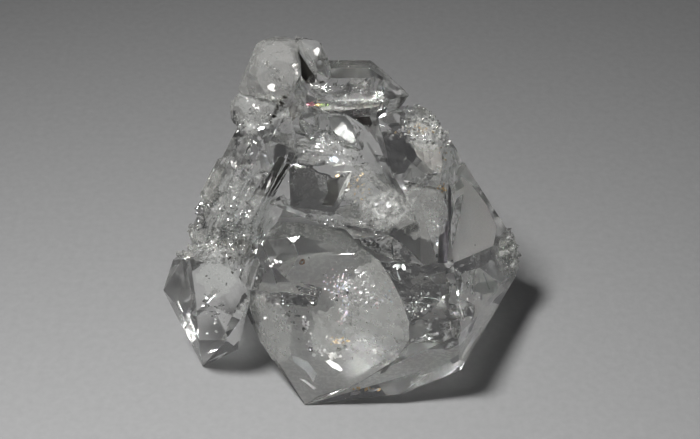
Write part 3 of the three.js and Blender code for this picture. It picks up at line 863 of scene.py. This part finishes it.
# centre and half size (mm), count, least and greatest chip size (mm), face over it, scatter, tints
CHIPS = [
    (mm(-1.2, -11.8, 15.6), (1.7, 1.2, 2.8), 120, 0.06, 0.17, (-0.1, -0.62, 0.77), 0.1, "ice"),
    (mm(-0.6, -14.6, 12.6), (1.0, 1.0, 2.8), 60, 0.06, 0.15, (-0.1, -0.7, 0.7), 0.1, "ice"),
    (mm(-10.3, -8.8, 16.8), (0.9, 0.4, 0.7), 9, 0.1, 0.26, OVER_DOME_TOP, 0.05, "white"),
    (mm(-12.9, -9.6, 14.7), (0.2, 0.2, 0.2), 2, 0.25, 0.35, (-0.2, -0.9, 0.37), 0.03, "white"),
    (mm(-2.2, -17.4, 7.6), (1.3, 0.5, 0.6), 24, 0.12, 0.34, OVER_DOME_LOW, 0.06, "white"),
    (mm(-1.4, -17.0, 9.8), (1.2, 0.5, 0.7), 22, 0.1, 0.28, (-0.2, -0.86, 0.48), 0.08, "gold"),
    (mm(-6.0, -14.6, 10.2), (1.0, 0.6, 1.4), 16, 0.12, 0.35, (-0.37, -0.83, 0.41), 0.1, "white"),
    (mm(6.6, -10.8, 17.8), (0.25, 0.2, 0.3), 7, 0.2, 0.4, (-0.36, -0.73, 0.58), 0.05, "white"),
    (mm(-4.4, 2.2, 35.5), (1.6, 0.2, 0.15), 16, 0.15, 0.35, OVER_FOOT, 0.1, "rainbow"),
    (mm(4.0, 4.2, 35.6), (0.6, 0.3, 0.5), 7, 0.15, 0.35, (0.62, -0.49, 0.61), 0.06, "white"),
    (mm(-10.4, 1.9, 38.4), (0.7, 0.3, 0.5), 9, 0.25, 0.45, (0.07, -0.86, 0.5), 0.05, "white"),
    (mm(-7.3, 3.4, 40.8), (0.3, 0.2, 0.8), 6, 0.2, 0.4, (0.2, -0.8, 0.55), 0.05, "white"),
    (mm(-4.6, 5.9, 41.4), (0.5, 0.2, 0.7), 7, 0.2, 0.45, (0.44, -0.61, 0.66), 0.05, "white"),
    (mm(-12.6, 2.6, 35.4), (2.0, 0.4, 0.8), 8, 0.12, 0.32, (-0.48, -0.62, 0.62), 0.06, "white"),
    (mm(1.2, -5.0, 27.6), (2.4, 1.4, 2.6), 34, 0.1, 0.3, OVER_CENTRAL, 0.14, "gold"),
    (mm(-2.6, 0.2, 31.0), (2.8, 1.2, 1.2), 26, 0.12, 0.35, (-0.2, -0.8, 0.57), 0.12, "white"),
    (mm(2.4, -18.9, 2.7), (2.4, 0.15, 0.25), 12, 0.2, 0.45, (0, -1, 0), 0.06, "gold"),
    (mm(9.0, -14.6, 13.2), (2.4, 1.2, 2.4), 30, 0.08, 0.25, (-0.36, -0.73, 0.58), 0.2, "white"),
    (mm(-19.0, -11.2, 9.0), (2.0, 1.5, 2.5), 12, 0.1, 0.25, (0.13, -0.73, 0.67), 0.15, "white"),
    (mm(15.0, -9.0, 14.0), (3.0, 3.0, 4.0), 26, 0.08, 0.25, OVER_RIGHT, 0.2, "white"),
    (mm(4.6, -7.5, 25.3), (1.6, 0.5, 1.5), 34, 0.15, 0.45, OVER_CENTRAL, 0.15, "white"),
    (mm(10.1, -0.6, 32.4), (2.6, 1.2, 0.6), 80, 0.15, 0.4, OVER_BLOCK_TOP, 0.2, "white"),
    (mm(10.1, -0.3, 32.8), (2.8, 1.2, 0.6), 44, 0.1, 0.28, OVER_BLOCK_TOP, 0.2, "gold"),
    (mm(-14.9, -5.4, 18.0), (0.9, 0.4, 1.3), 18, 0.15, 0.45, (-0.3, -0.8, 0.5), 0.1, "white"),
    (mm(-17.7, -4.0, 24.8), (0.3, 0.2, 1.2), 9, 0.15, 0.35, OVER_FLANK_LEFT, 0.08, "white"),
    (mm(-15.6, -3.0, 29.2), (0.4, 0.2, 1.0), 9, 0.15, 0.35, OVER_FLANK, 0.08, "white"),
    (mm(-13.6, -2.2, 30.8), (0.6, 0.2, 0.8), 9, 0.15, 0.35, OVER_FLANK_LEFT, 0.08, "white"),
    (mm(-4.0, -6.4, 22.4), (4.5, 0.8, 0.8), 30, 0.08, 0.2, (-0.1, -0.6, 0.8), 0.15, "white"),
    (mm(-13.2, -12.6, 11.4), (1.6, 1.0, 1.6), 34, 0.15, 0.45, OVER_FLANK, 0.14, "white"),
    (mm(-15.4, -5.6, 17.0), (0.5, 0.3, 0.5), 12, 0.25, 0.55, (-0.6, -0.4, 0.7), 0.1, "white"),
    (mm(-18.4, -8.0, 18.6), (2.2, 1.0, 0.8), 30, 0.1, 0.3, (0.2, -0.5, 0.85), 0.2, "white"),
    (mm(-14.8, -3.4, 26.0), (1.6, 0.8, 4.0), 50, 0.1, 0.32, (-0.3, -0.85, 0.42), 0.2, "white"),
    (mm(-4.8, -17.0, 8.6), (2.2, 0.8, 2.2), 40, 0.1, 0.3, (-0.25, -0.87, 0.42), 0.18, "white"),
    (mm(4.4, -17.0, 8.6), (2.4, 0.8, 2.2), 40, 0.08, 0.25, (-0.05, -0.85, 0.5), 0.18, "white"),
    (mm(3.4, -13.4, 14.2), (2.6, 1.0, 2.4), 50, 0.07, 0.2, (0.05, -0.6, 0.8), 0.18, "ice"),
    (mm(-6.8, -12.6, 14.2), (3.2, 0.8, 1.8), 14, 0.06, 0.18, (-0.25, -0.72, 0.64), 0.16, "white"),
    (mm(12.4, -2.4, 30.2), (2.2, 0.8, 2.0), 26, 0.08, 0.22, OVER_BLOCK, 0.16, "gold"),
    (mm(12.6, -5.6, 27.3), (1.4, 0.5, 0.8), 22, 0.1, 0.28, OVER_BLOCK, 0.12, "gold"),
    (mm(22.4, -2.2, 11.2), (0.8, 0.8, 1.6), 24, 0.12, 0.36, OVER_RIGHT, 0.16, "white"),
    (mm(0.6, 4.4, 36.0), (5.0, 0.6, 1.6), 34, 0.08, 0.24, OVER_SLOPE, 0.2, "white"),
    (mm(-10.6, 4.0, 40.0), (2.6, 1.0, 2.6), 12, 0.08, 0.18, OVER_SLOPE, 0.2, "white"),
    (mm(5.0, -7.2, 25.6), (1.8, 0.5, 1.3), 30, 0.2, 0.55, OVER_SLOPE, 0.12, "white"),
]
# place on the surface (mm), outline as seen (mm right, mm up), face over it, tint
FILMS = [
    (mm(-0.5, -1.7, 33.7), [(-2.7, 2.1), (-0.4, 2.3), (0.5, 1.2), (2.0, -2.2), (0.6, -1.6), (-1.5, -0.1)],
     (-0.13, -0.79, 0.61), "haze"),
    (mm(-2.3, -18.8, 7.0), [(-1.1, 0.4), (-0.4, 0.6), (0.7, 0.0), (1.3, -0.8), (1.0, -1.0), (-0.1, -0.5)],
     OVER_DOME_LOW, "pearl"),
    (mm(-18.3, -13.1, 3.0), [(-1.8, -0.9), (-0.4, 0.0), (1.2, 0.7), (1.2, 0.5), (0.1, -0.1)],
     (0.12, -0.92, -0.38), "pearl"),
    (mm(-23.4, -12.1, 11.4), [(-0.4, 0.7), (-0.2, 0.8), (0.4, -0.6), (0.3, -0.7)],
     (-0.67, -0.71, 0.2), "pearl"),
    (mm(0.8, -19.7, 2.3), [(-0.8, -0.4), (-0.6, 0.1), (0.6, 0.3), (0.7, 0.0), (0.0, -0.3)],
     OVER_EDGE, "pearl"),
    (mm(3.2, -19.7, 2.7), [(-0.8, -0.1), (-0.6, 0.1), (0.8, 0.4), (0.8, 0.2), (0.0, -0.1)],
     OVER_EDGE, "pearl"),
    (mm(5.0, -19.6, 6.9), [(-0.9, -0.8), (-0.7, -0.3), (0.3, 0.6), (0.8, 0.7), (-0.2, -0.5)],
     OVER_EDGE, "haze"),
    (mm(-2.8, -19.7, 1.9), [(-3.1, -1.1), (-1.4, -0.2), (2.9, 1.3), (3.0, 1.1), (0.8, 0.1)],
     OVER_EDGE, "haze"),
    (mm(20.9, -6.9, 10.1), [(-1.8, -1.7), (-1.6, -1.4), (1.9, 1.8), (2.0, 1.6)], OVER_RIGHT, "pearl"),
    (mm(15.0, -16.5, 14.6), [(-0.4, 1.0), (-0.2, 1.1), (0.5, -1.0), (0.4, -1.2)], OVER_RIGHT, "pearl"),
    (mm(16.5, -16.0, 8.0), [(1.7, 2.2), (1.2, 1.0), (-0.3, -0.8), (-1.2, -2.1), (-1.3, -1.5), (0.6, 1.4)],
     (0.89, -0.46, 0.03), "haze"),
    (mm(18.7, -9.4, 12.5), [(-2.3, -0.3), (-1.0, 0.7), (2.0, 0.9), (2.0, -0.6), (0.0, -0.9)],
     OVER_RIGHT, "haze"),
    (mm(-0.7, -9.8, 19.1), [(-1.0, -0.1), (-0.2, 0.1), (1.3, 0.1), (1.2, -0.1)],
     (-0.03, -0.5, 0.86), "pearl"),
    (mm(5.8, -10.0, 19.4), [(-0.2, 1.3), (0.0, 1.4), (0.1, -1.2), (-0.1, -1.2)], OVER_FRONT, "smoke"),
    (mm(6.5, -12.1, 17.2), [(-0.2, 0.6), (0.0, 0.6), (0.4, -0.6), (0.2, -0.7)], OVER_FRONT, "smoke"),
    (mm(7.2, -11.6, 18.3), [(-0.2, 0.4), (0.1, 0.4), (0.3, 0.1), (0.3, -0.4), (0.0, -0.4), (-0.2, -0.1)],
     OVER_FRONT, "pearl"),
    (mm(16.5, -5.1, 20.3), [
        (-2.3, 4.1), (-1.2, 6.8), (0.4, 5.6), (2.7, 2.8), (4.3, -0.5), (3.6, -3.0), (0.4, -4.2),
        (-2.7, -5.3),
    ], OVER_RIGHT, "mist"),
    (mm(16.5, -5.1, 20.3), [(-2.2, 5.6), (-1.3, 6.3), (-0.8, 5.3), (-2.0, 4.6)], OVER_RIGHT, "haze"),
    # near-black film: painted shade in a small dark window
    (mm(1.7, 2.4, 32.5), [(-1.4, 0.6), (1.0, 0.7), (1.4, -0.3), (1.0, -1.0), (-0.4, -0.8)],
     OVER_FOOT, "painted_black_shade"),
    (mm(1.5, 2.3, 32.7), [(-1.5, 0.75), (0.0, 1.0), (1.2, 0.9), (1.2, 0.75), (0.0, 0.8)],
     OVER_FOOT, "haze"),
    # near-black film: painted shade in the window face
    (mm(-2.7, -4.9, 28.1), [(-0.5, 0.0), (2.3, 0.4), (1.5, -1.4), (0.4, -3.6), (-1.1, -3.4), (-0.3, -1.7)],
     OVER_WINDOW, "painted_black_shade"),
    # dark film: painted shade, the dark strip down the bevel on the right
    (mm(12.8, -8.8, 24.3), [(0.3, 4.8), (0.9, 4.2), (0.6, -1.4), (0.3, -5.8), (-0.9, -5.8), (-0.4, -0.7)],
     OVER_BLOCK, "painted_dark_shade"),
    (mm(10.7, -4.3, 30.5), [
        (-2.4, 2.9), (0.0, 2.7), (1.4, 2.0), (1.8, 0.4), (1.5, -1.4), (0.0, -0.7), (-1.7, 1.0),
    ], (0.25, -0.66, 0.71), "pale"),
    (mm(17.9, -10.6, 13.2), [(-0.2, 1.8), (0.0, 1.8), (0.4, -1.4), (0.1, -1.5)], OVER_RIGHT, "haze"),
    (mm(17.0, -11.0, 14.8), [(-0.2, 1.2), (0.0, 1.3), (0.2, -1.8), (0.1, -1.9)], OVER_RIGHT, "haze"),
    (mm(18.9, -8.6, 12.6), [(-0.5, 1.4), (-0.3, 1.4), (0.6, -0.8), (0.4, -0.9)], OVER_RIGHT, "smoke"),
    # two near-black films: painted shade, the dark stripes of the left flank
    (mm(-10.5, -3.5, 27.4), [(0.7, 2.5), (1.5, 2.1), (-0.8, -2.5), (-2.0, -2.2)], OVER_FLANK, "painted_black_shade"),
    (mm(-10.5, -3.9, 27.7), [(2.0, 1.7), (2.3, 1.3), (0.2, -2.7), (-0.3, -2.5)], OVER_FLANK, "painted_black_shade"),
    (mm(0.7, 1.9, 35.3), [
        (-5.4, -0.4), (-4.0, 0.1), (-0.5, 0.25), (3.2, 0.35), (3.7, 0.1), (1.0, -0.2), (-2.0, -0.5),
    ], OVER_FOOT, "mist"),
    (mm(0.7, 1.9, 35.9), [(-3.4, -0.1), (-1.0, 0.15), (2.6, 0.3), (3.4, 0.2), (1.0, -0.05)],
     OVER_FOOT, "haze"),
    (mm(11.2, -15.6, 15.9), [(-2.0, 0.4), (0.0, 0.4), (1.3, -0.2), (0.0, 0.2)], OVER_FRONT, "smoke"),
    (mm(9.6, -15.4, 15.1), [(-2.0, 0.1), (0.0, 0.2), (1.6, -0.2), (0.0, 0.1)], OVER_FRONT, "smoke"),
    (mm(10.8, -13.5, 18.2), [(-0.8, 0.1), (0.6, 0.1), (0.8, -0.1), (-0.6, 0.0)], OVER_FRONT, "smoke"),
    (mm(3.0, -2.3, 30.4), [(-1.0, 1.5), (-0.7, 1.4), (1.0, -1.3), (0.8, -1.4)], OVER_CENTRAL, "haze"),
    (mm(5.1, -5.1, 28.0), [(-1.0, 1.5), (-0.8, 1.5), (1.0, -1.5), (0.8, -1.6)], OVER_CENTRAL, "haze"),
    (mm(-2.2, -3.2, 30.3), [(-0.7, 0.4), (0.3, 0.5), (0.8, -0.2), (0.4, -0.5), (-0.4, -0.3)],
     OVER_STEPS, "ice"),
    (mm(-1.3, -3.9, 30.0), [(-1.4, -0.3), (-0.5, 0.0), (1.4, 0.3), (0.2, -0.1)], OVER_STEPS, "haze"),
    (mm(-0.7, -4.8, 29.4), [(-1.4, 0.0), (0.0, 0.1), (1.3, 0.1), (0.0, -0.1)], OVER_WINDOW, "haze"),
    (mm(-0.7, -5.9, 28.0), [(1.0, 2.0), (0.6, 0.4), (-0.1, -0.9), (-1.1, -2.2), (-0.6, -0.9), (0.1, 0.5)],
     OVER_CENTRAL, "haze"),
    (mm(-11.1, -4.5, 27.3), [(0.6, 1.7), (0.8, 1.5), (-0.2, -1.3), (-0.5, -1.4)], OVER_FLANK, "haze"),
    (mm(-15.7, -5.6, 16.9), [(-0.4, 0.7), (0.4, 0.4), (0.3, -0.4), (-0.1, -0.7), (-0.4, -0.2)],
     (-0.85, -0.19, 0.5), "pearl"),
    (mm(-6.0, -18.1, 5.6), [(-2.2, 1.8), (-1.8, 0.8), (-0.1, -0.5), (1.0, -2.0), (1.4, -0.8), (0.2, 0.8)],
     OVER_DOME_LEFT, "smoke"),
    (mm(-5.8, -18.9, 3.4), [(-1.2, 0.6), (-0.4, 0.5), (1.1, -0.7), (0.8, -0.9), (-0.3, 0.0)],
     OVER_DOME_LEFT, "haze"),
]
FILM_DEPTH = 0.3 * MM
CHIP_THICKNESS = 0.01 * MM
FILM_BACK = -EYE * 0.01 * MM
FILM_TINTS = {
    "pearl": (0.97, 0.97, 0.97),
    "ice": (0.78, 0.88, 1.0),
    "haze": (0.4, 0.41, 0.4),
    "smoke": (0.2, 0.21, 0.21),
    "mist": (0.96, 0.95, 0.93),
    "pale": (0.33, 0.32, 0.3),
    # dark tint of a film that paints shade on a dark strip
    "painted_dark_shade": (0.06, 0.06, 0.065),
    # near-black tint of films that paint shade where the quartz looks dark
    "painted_black_shade": (0.02, 0.02, 0.018),
}
CHIP_TINTS = {
    "white": [(0.95, 0.95, 0.95)],
    "ice": [(0.95, 0.95, 0.95), (0.7, 0.85, 1.0), (0.95, 0.95, 0.95), (1.0, 0.72, 0.75), (0.78, 0.75, 1.0)],
    "gold": [(1.0, 0.8, 0.5), (0.95, 0.93, 0.88), (1.0, 0.7, 0.35)],
    "rainbow": [(1.0, 0.35, 0.45), (1.0, 0.75, 0.35), (0.65, 1.0, 0.35)],
}
MISTY_TINTS = (FILM_TINTS["mist"], FILM_TINTS["pale"])
# metallic, roughness
MISTY_SHINE = (0.9, 0.5)
CLEAN_SHINE = (1.0, 0.42)
SPARK_SCALE = 5000
SPARK_DARKEST = 0.7
CHIP_SCATTER = 0.5
SKIN = 0.12 * MM
HAIR = 0.001 * MM
ASKEW = Vector((0.13, -0.41, 0.90)).normalized()
DRAWING_STEPS = 12
DRAWN_PART = 0.1


def film_corners(place, outline, over):
    """The corners of a film that shows the outline through the face and mirrors the lamp."""
    over = Vector(over).normalized()
    sight = -EYE
    inward = bent(sight, over)
    facing = shine_through(over)
    right = Vector((1, 0, 0))
    up = EYE.cross(right)
    steps = []
    for across, above in outline:
        step = (across * right + above * up) * MM
        steps.append(step - sight * step.dot(over) / sight.dot(over))
    rises = [step.dot(facing) / inward.dot(facing) for step in steps]
    deepest = FILM_DEPTH + max(rises)
    return [place + step + inward * (deepest - rise) for step, rise in zip(steps, rises)]


def spark_material(tint):
    """A thin cleaved film that mirrors the lamp, slightly uneven in tone; in the near-black tints it is
    painted shade.
    """
    material, nodes, links = new_material("film")
    metallic, roughness = MISTY_SHINE if tint in MISTY_TINTS else CLEAN_SHINE
    set_inputs(nodes["Principled BSDF"], {"Metallic": metallic, "Roughness": roughness})
    uneven = noise_texture(nodes, links, SPARK_SCALE)
    mottle(nodes, links, uneven, [part * SPARK_DARKEST for part in tint], tint)
    return material


def is_caught(tree, place):
    """True where the place is inside the quartz, or touches its skin."""
    if tree.find_nearest(place)[3] < SKIN:
        return True
    crossings = 0
    start = place
    while True:
        start = tree.ray_cast(start, ASKEW)[0]
        if start is None:
            return crossings % 2 == 1
        crossings += 1
        start = start + ASKEW * HAIR


def drawn_in(tree, corners):
    """The corners, each drawn towards the middle of the film until it is in the quartz."""
    middle = sum(corners, Vector()) / len(corners)
    kept = []
    for corner in corners:
        for _ in range(DRAWING_STEPS):
            if is_caught(tree, corner):
                break
            corner = corner.lerp(middle, DRAWN_PART)
        kept.append(corner)
    return kept


def chips(tree):
    """Every chip that lies in the quartz, with its tint."""
    rng = random.Random(23)
    made = []
    for centre, half, count, least, most, over, scatter, family in CHIPS:
        towards = shine_through(over)
        tints = CHIP_TINTS[family]
        for _ in range(count):
            step = spread_out(rng, CHIP_SCATTER)
            place = placed(centre, step, half)
            lean = spread_out(rng, scatter)
            shape = flake(rng, place, towards + lean, rng.uniform(least, most) * MM, CHIP_THICKNESS)
            if family == "rainbow":
                along = min(0.99, max(0.0, (step.x + 1) / 2))
                tint = tints[int(along * len(tints))]
            else:
                tint = rng.choice(tints)
            if is_caught(tree, place):
                made.append((shape, tint))
    return made


def films(tree):
    """Every film, with its tint."""
    made = []
    for place, outline, over, tint in FILMS:
        corners = drawn_in(tree, film_corners(place, outline, over))
        made.append((slab(corners, FILM_BACK), FILM_TINTS[tint]))
    return made


def make_sparks():
    solid = frame["nodes"]["quartz_cluster"].data
    places = [vert.co for vert in solid.vertices]
    tree = BVHTree.FromPolygons(places, [list(face.vertices) for face in solid.polygons])
    made = chips(tree) + films(tree)
    chip_tints = {tint for family in CHIP_TINTS.values() for tint in family}
    tints = sorted(chip_tints | set(FILM_TINTS.values()))
    body = make_piece(
        "sparks",
        [shape for shape, _ in made],
        [spark_material(tint) for tint in tints],
        [tints.index(tint) for _, tint in made],
    )


# ---- rock oil: black specks; and a near-black film in the crevice beside the knob, painted shade ----
# x, y, z as mm() takes them, and size (mm)
SPECKS = [
    (-1.8, -14.7, 15.2, 0.36), (-0.8, -15.2, 14.8, 0.22), (-0.5, -16.2, 13.4, 0.18),
    (-8.6, -10.1, 17.1, 0.26), (-6.7, -10.5, 17.9, 0.12), (-1.9, -8.4, 18.9, 0.15),
    (-3.8, -1.2, 33.6, 0.16), (-19.6, -11.4, 16.5, 0.26), (-19.2, -11.5, 16.2, 0.2),
    (-16.9, -11.9, 15.5, 0.26), (-16.1, -10.5, 16.4, 0.34), (-16.4, -9.6, 18.1, 0.42),
    (-13.5, -5.2, 16.4, 0.4), (20.0, -7.8, 11.1, 0.12), (20.8, -5.3, 11.3, 0.16),
    (23.6, 0.6, 10.8, 0.3), (23.7, 1.0, 9.6, 0.34), (2.8, -8.6, 24.1, 0.36), (13.4, -7.0, 24.0, 0.12),
    (2.0, -7.2, 23.6, 0.2), (-8.8, 0.9, 37.6, 0.46), (-9.2, 1.0, 36.5, 0.56), (-9.7, 1.1, 35.6, 0.6),
    (-10.2, 0.4, 34.9, 0.56), (-10.6, -0.2, 34.3, 0.4), (8.3, -13.0, 17.0, 0.1),
    (-5.5, -14.0, 12.4, 0.14), (0.9, -13.9, 15.2, 0.1),
]
GRAINS_PER_SPECK = 3
GRAIN_NUDGE = 0.12
GRAIN_WIDTH = 0.35
GRAIN_LENGTH = 1.5
# corners (mm) of the front of the crevice film, which paints the crevice's shade
CREVICE = [
    mm(-7.5, 5.2, 42.0), mm(-6.7, 5.2, 41.6), mm(-5.7, 5.0, 39.8), mm(-4.6, 4.8, 38.0),
    mm(-3.4, 4.7, 37.2), mm(-4.6, 4.6, 36.8), mm(-5.9, 4.7, 37.2), mm(-6.9, 5.0, 38.8),
    mm(-7.5, 5.2, 40.4),
]
CREVICE_BACK = Vector((0, 0.15, -0.05)) * MM
# tones of the rock oil specks, and of the crevice film, where they are painted shade
OIL_AND_CREVICE_SHADE_DARK = (0.01, 0.01, 0.009)
OIL_AND_CREVICE_SHADE_LIGHT = (0.05, 0.045, 0.035)
OIL_AND_CREVICE_SHADE_SCALE = 6000


def make_specks_and_crevice_shade():
    rng = random.Random(41)
    shapes = []
    for x, y, z, size in SPECKS:
        for _ in range(GRAINS_PER_SPECK):
            lean = spread_out(rng, 1)
            nudge = spread_out(rng, GRAIN_NUDGE) * size * MM
            width = GRAIN_WIDTH * size * MM
            length = GRAIN_LENGTH * size * MM
            shapes.append(grain(mm(x, y, z) + nudge, lean, rng.uniform(0, 1), width, length))
    # the crevice film: a near-black sheet, painted shade in the crevice
    shapes.append(slab(CREVICE, CREVICE_BACK))
    material, nodes, links = new_material("rock_oil_and_crevice_shade")
    crumb = noise_texture(nodes, links, OIL_AND_CREVICE_SHADE_SCALE)
    mottle(nodes, links, crumb, OIL_AND_CREVICE_SHADE_DARK, OIL_AND_CREVICE_SHADE_LIGHT)
    links.new(crumb.outputs["Fac"], nodes["Principled BSDF"].inputs["Roughness"])
    make_piece("specks", shapes, [material], [0] * len(shapes))


# ---- the rusty rim round one bubble of the front crystal ----
RIM_ROUNDS = 18
RIM_SIDES = 6
RIM_RADIUS = 0.34 * MM
RIM_TUBE = 0.11 * MM
RIM_SQUASH = 0.85
RIM_LUMPS = 3
RIM_UNEVENNESS = 0.35
RUST_DARK = (0.03, 0.012, 0.004)
RUST_LIGHT = (0.3, 0.13, 0.03)
RUST_SCALE = 4000
RUST_ROUGHNESS = 0.5


def make_bubble_rim():
    along, across, up = turned(shine_through(OVER_DOME_TOP), 0)
    verts, faces = [], []
    for turn in range(RIM_ROUNDS):
        angle = 2 * math.pi * turn / RIM_ROUNDS
        out = along * math.cos(angle) + across * RIM_SQUASH * math.sin(angle)
        thick = RIM_TUBE * (1 + RIM_UNEVENNESS * math.sin(RIM_LUMPS * angle))
        for side in range(RIM_SIDES):
            tilt = 2 * math.pi * side / RIM_SIDES
            outward = out * (RIM_RADIUS + thick * math.cos(tilt))
            verts.append(RIMMED_BUBBLE + outward + up * thick * math.sin(tilt))
    for turn in range(RIM_ROUNDS):
        here = turn * RIM_SIDES
        next_turn = (turn + 1) % RIM_ROUNDS * RIM_SIDES
        for side in range(RIM_SIDES):
            after = (side + 1) % RIM_SIDES
            faces.append((here + side, next_turn + side, next_turn + after, here + after))
    material, nodes, links = new_material("rust")
    set_inputs(nodes["Principled BSDF"], {"Roughness": RUST_ROUGHNESS})
    mottle(nodes, links, noise_texture(nodes, links, RUST_SCALE), RUST_DARK, RUST_LIGHT)
    make_piece("bubble_rim", [(verts, faces)], [material], [0])


make_camera()
make_lamp()
make_room()
make_floor()
make_cluster()
make_sparks()
make_specks_and_crevice_shade()
make_bubble_rim()

MOST_BOUNCES = 24
SCENE.view_settings.view_transform = "Standard"
SCENE.cycles.max_bounces = MOST_BOUNCES
SCENE.cycles.transmission_bounces = MOST_BOUNCES
SCENE.cycles.glossy_bounces = 12
SCENE.cycles.sample_clamp_indirect = 0
SCENE.cycles.use_denoising = True
